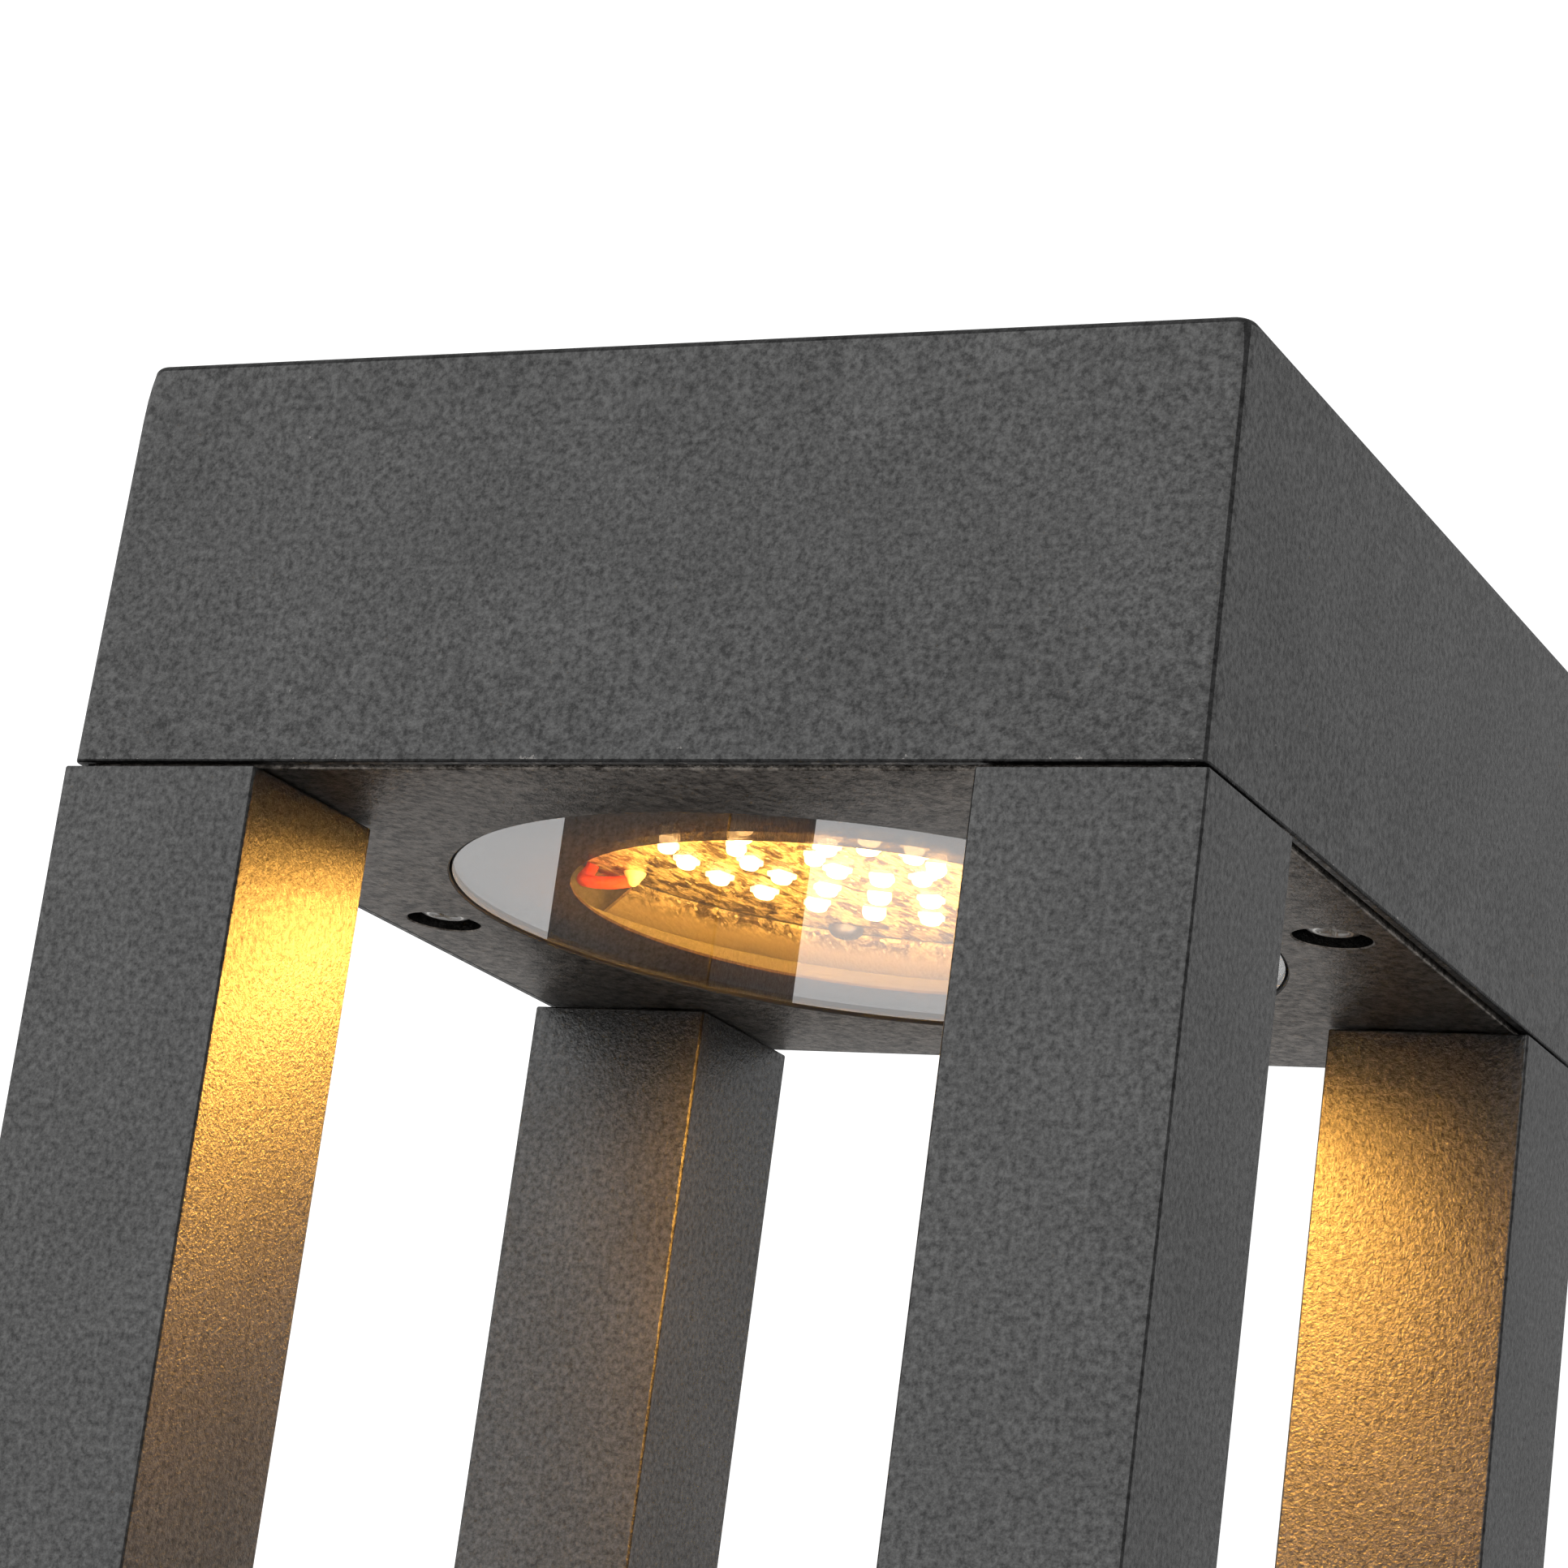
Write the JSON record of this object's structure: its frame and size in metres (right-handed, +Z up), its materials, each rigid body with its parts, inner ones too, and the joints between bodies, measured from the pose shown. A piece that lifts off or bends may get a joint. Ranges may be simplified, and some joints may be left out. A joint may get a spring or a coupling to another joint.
{
  "type": "bollard light",
  "caption": "Square garden bollard light: a flat box head on four slim square posts, shining down through round glass.",
  "frame": {"origin": "on the ground, under the middle of the base plate", "axes": "+Z up along the posts; -Y is the front, the side seen on the left half of the picture, and +X is the side seen on its right"},
  "size_m": [0.162, 0.162, 0.8],
  "materials": {
    "powder_coat": "fine-textured anthracite powder coat on aluminium, matt",
    "powder_coat_underside": "the same anthracite powder coat on the underside plate",
    "rubber_seals": "black EPDM and silicone seals",
    "lens_glass": "clear flat tempered glass with a ground edge",
    "black_mask": "black film that frames the clear window",
    "circuit_board": "lacquered round lamp board",
    "led_packages": "warm white light sources, lit",
    "lamp_reflector": "hammered bright aluminium round the lamp board",
    "aluminium_bare": "bare aluminium",
    "steel_fasteners": "zinc-plated steel screws",
    "driver_case": "white plastic driver case",
    "terminal_plastic": "cream terminal plastic",
    "cable_jacket": "black rubber cable jacket",
    "wire_red": "red insulation",
    "wire_black": "black insulation",
    "wire_brown": "brown insulation",
    "wire_blue": "blue insulation",
    "wire_green": "green insulation"
  },
  "bodies": {
    "root": {"base_cable_grommet": "rubber_seals", "base_plate": "powder_coat", "board_screw_1": "steel_fasteners", "board_screw_2": "steel_fasteners", "board_screw_3": "steel_fasteners", "cap_screw_left": "steel_fasteners", "cap_screw_right": "steel_fasteners", "cap_seal": "rubber_seals", "driver_screw_left": "steel_fasteners", "driver_screw_right": "steel_fasteners", "earth_screw": "steel_fasteners", "earth_wire": "wire_green", "feed_cable": "cable_jacket", "head_cable_grommet": "rubber_seals", "head_cap": "powder_coat", "heat_spreader": "aluminium_bare", "led_array": "led_packages", "led_board": "circuit_board", "led_driver": "driver_case", "led_wire_black": "wire_black", "led_wire_red": "wire_red", "lens_gasket": "rubber_seals", "lens_glass": "lens_glass", "lens_mask": "black_mask", "post_back_left": "powder_coat", "post_back_left_bottom_insert": "aluminium_bare", "post_back_left_bottom_screw": "steel_fasteners", "post_back_left_top_insert": "aluminium_bare", "post_back_left_top_screw": "steel_fasteners", "post_back_right": "powder_coat", "post_back_right_bottom_insert": "aluminium_bare", "post_back_right_bottom_screw": "steel_fasteners", "post_back_right_top_insert": "aluminium_bare", "post_back_right_top_screw": "steel_fasteners", "post_front_left": "powder_coat", "post_front_left_bottom_insert": "aluminium_bare", "post_front_left_bottom_screw": "steel_fasteners", "post_front_left_top_insert": "aluminium_bare", "post_front_left_top_screw": "steel_fasteners", "post_front_right": "powder_coat", "post_front_right_bottom_insert": "aluminium_bare", "post_front_right_bottom_screw": "steel_fasteners", "post_front_right_top_insert": "aluminium_bare", "post_front_right_top_screw": "steel_fasteners", "reflector_ring": "lamp_reflector", "spreader_screw_1": "steel_fasteners", "spreader_screw_2": "steel_fasteners", "spreader_screw_3": "steel_fasteners", "supply_wire_live": "wire_brown", "supply_wire_neutral": "wire_blue", "terminal_block": "terminal_plastic", "underside_plate": "powder_coat_underside"}
  },
  "joints": []
}
